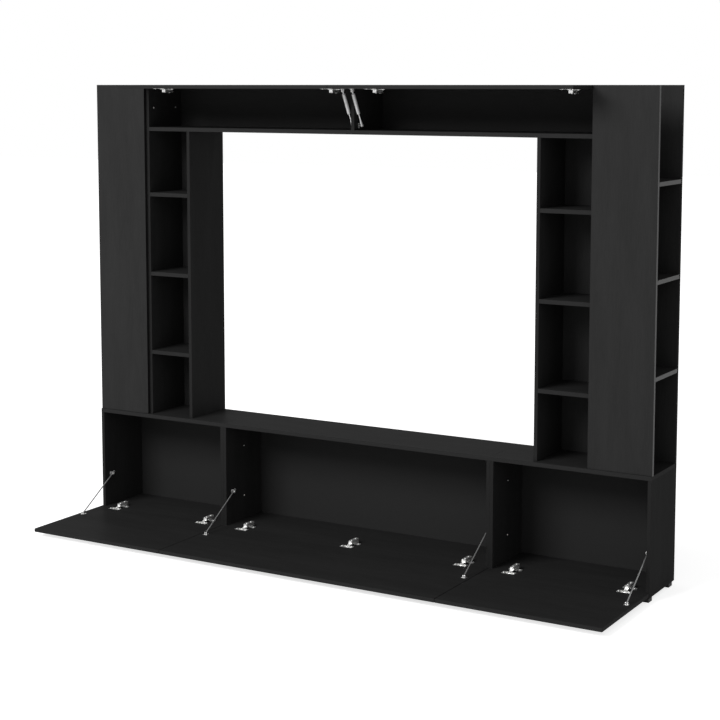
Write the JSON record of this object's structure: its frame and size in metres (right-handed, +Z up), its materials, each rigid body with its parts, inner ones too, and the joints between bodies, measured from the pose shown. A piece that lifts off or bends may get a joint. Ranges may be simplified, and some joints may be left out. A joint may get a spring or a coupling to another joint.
{
  "type": "entertainment center",
  "caption": "Wall-wide entertainment center in black wood-grain laminate: low cabinets with drop flaps, shelf columns at both ends and a bridge cabinet with lift flaps.",
  "frame": {"origin": "center of the outer box at floor level, with every flap open", "axes": "+X along the width to the right seen from the front, +Y toward the wall behind, +Z up"},
  "size_m": [2.8, 0.793, 2.074],
  "materials": {
    "front_laminate": "black wood-grain laminate, satin",
    "carcass_laminate": "black wood-grain laminate, matte",
    "back_sheet": "thin black fiberboard",
    "nickel": "nickel plated",
    "strut_body": "light grey enamel"
  },
  "bodies": {
    "carcass": {"bridge_back": "back_sheet", "bridge_bottom": "carcass_laminate", "bridge_divider": "carcass_laminate", "bridge_top": "carcass_laminate", "center_cabinet_back": "back_sheet", "center_cabinet_bottom": "carcass_laminate", "center_cabinet_left_side": "carcass_laminate", "center_cabinet_right_side": "carcass_laminate", "center_cabinet_top": "carcass_laminate", "center_drop_hinge_arm_1": "nickel", "center_drop_hinge_arm_2": "nickel", "center_drop_hinge_arm_3": "nickel", "left_cabinet_back": "back_sheet", "left_cabinet_bottom": "carcass_laminate", "left_cabinet_left_side": "carcass_laminate", "left_cabinet_right_side": "carcass_laminate", "left_cabinet_top": "carcass_laminate", "left_column_back": "carcass_laminate", "left_column_front_panel": "front_laminate", "left_column_front_shelf_1": "carcass_laminate", "left_column_front_shelf_2": "carcass_laminate", "left_column_front_shelf_3": "carcass_laminate", "left_column_inner_wall": "carcass_laminate", "left_column_partition": "carcass_laminate", "left_drop_hinge_arm_1": "nickel", "left_drop_hinge_arm_2": "nickel", "left_lift_hinge_arm_1": "nickel", "left_lift_hinge_arm_2": "nickel", "right_cabinet_back": "back_sheet", "right_cabinet_bottom": "carcass_laminate", "right_cabinet_left_side": "carcass_laminate", "right_cabinet_right_side": "carcass_laminate", "right_cabinet_top": "carcass_laminate", "right_column_back": "carcass_laminate", "right_column_front_panel": "front_laminate", "right_column_front_shelf_1": "carcass_laminate", "right_column_front_shelf_2": "carcass_laminate", "right_column_front_shelf_3": "carcass_laminate", "right_column_inner_wall": "carcass_laminate", "right_column_partition": "carcass_laminate", "right_drop_hinge_arm_1": "nickel", "right_drop_hinge_arm_2": "nickel", "right_lift_hinge_arm_1": "nickel", "right_lift_hinge_arm_2": "nickel"},
    "left_drop_flap": {"left_drop_flap": "front_laminate"},
    "center_drop_flap": {"center_drop_flap": "front_laminate"},
    "right_drop_flap": {"right_drop_flap": "front_laminate"},
    "left_stay_rod": {"left_stay_rod": "nickel"},
    "center_left_stay_rod": {"center_left_stay_rod": "nickel"},
    "center_right_stay_rod": {"center_right_stay_rod": "nickel"},
    "right_stay_rod": {"right_stay_rod": "nickel"},
    "left_lift_flap": {"left_lift_flap": "front_laminate"},
    "left_strut_cylinder": {"left_strut_cylinder": "strut_body"},
    "left_strut_rod": {"left_strut_rod": "nickel"},
    "right_lift_flap": {"right_lift_flap": "front_laminate"},
    "right_strut_cylinder": {"right_strut_cylinder": "strut_body"},
    "right_strut_rod": {"right_strut_rod": "nickel"}
  },
  "joints": [
    {"name": "left_drop_hinge", "type": "hinge", "parent": "carcass", "child": "left_drop_flap", "pos_m": [-1.042, 0.0895, 0.031], "axis": [-1, 0, 0], "range_deg": [0, 90]},
    {"name": "center_drop_hinge", "type": "hinge", "parent": "carcass", "child": "center_drop_flap", "pos_m": [0, 0.0895, 0.031], "axis": [-1, 0, 0], "range_deg": [0, 90]},
    {"name": "right_drop_hinge", "type": "hinge", "parent": "carcass", "child": "right_drop_flap", "pos_m": [1.042, 0.0895, 0.031], "axis": [-1, 0, 0], "range_deg": [0, 90]},
    {"name": "left_stay_pivot", "type": "hinge", "parent": "left_drop_flap", "child": "left_stay_rod", "pos_m": [-1.373, -0.07935, 0.046], "axis": [1, 0, 0], "range_deg": [0, 45]},
    {"name": "center_left_stay_pivot", "type": "hinge", "parent": "center_drop_flap", "child": "center_left_stay_rod", "pos_m": [-0.657, -0.07935, 0.046], "axis": [1, 0, 0], "range_deg": [0, 45]},
    {"name": "center_right_stay_pivot", "type": "hinge", "parent": "center_drop_flap", "child": "center_right_stay_rod", "pos_m": [0.657, -0.07935, 0.046], "axis": [1, 0, 0], "range_deg": [0, 45]},
    {"name": "right_stay_pivot", "type": "hinge", "parent": "right_drop_flap", "child": "right_stay_rod", "pos_m": [1.373, -0.07935, 0.046], "axis": [1, 0, 0], "range_deg": [0, 45]},
    {"name": "left_lift_hinge", "type": "hinge", "parent": "carcass", "child": "left_lift_flap", "pos_m": [-0.56, 0.1115, 2.066], "axis": [1, 0, 0], "range_deg": [0, 90]},
    {"name": "left_strut_pivot", "type": "hinge", "parent": "left_lift_flap", "child": "left_strut_cylinder", "pos_m": [-0.024, 0.0815, 2.048], "axis": [-1, 0, 0], "range_deg": [0, 104.9]},
    {"name": "left_strut_slide", "type": "slide", "parent": "left_strut_cylinder", "child": "left_strut_rod", "axis": [0, -0.4797, 0.8774], "range_m": [0, 0.029]},
    {"name": "right_lift_hinge", "type": "hinge", "parent": "carcass", "child": "right_lift_flap", "pos_m": [0.56, 0.1115, 2.066], "axis": [1, 0, 0], "range_deg": [0, 90]},
    {"name": "right_strut_pivot", "type": "hinge", "parent": "right_lift_flap", "child": "right_strut_cylinder", "pos_m": [0.024, 0.0815, 2.048], "axis": [-1, 0, 0], "range_deg": [0, 104.9]},
    {"name": "right_strut_slide", "type": "slide", "parent": "right_strut_cylinder", "child": "right_strut_rod", "axis": [0, -0.4797, 0.8774], "range_m": [0, 0.029]}
  ],
  "couplings": [
    {"joint": "left_stay_pivot", "follows": "left_drop_hinge", "ratio": 0.5},
    {"joint": "center_left_stay_pivot", "follows": "center_drop_hinge", "ratio": 0.5},
    {"joint": "center_right_stay_pivot", "follows": "center_drop_hinge", "ratio": 0.5},
    {"joint": "right_stay_pivot", "follows": "right_drop_hinge", "ratio": 0.5},
    {"joint": "left_strut_pivot", "follows": "left_lift_hinge", "ratio": 1.1647},
    {"joint": "left_strut_slide", "follows": "left_lift_hinge", "m_per_rad": 0.01835},
    {"joint": "right_strut_pivot", "follows": "right_lift_hinge", "ratio": 1.1647},
    {"joint": "right_strut_slide", "follows": "right_lift_hinge", "m_per_rad": 0.01835}
  ]
}
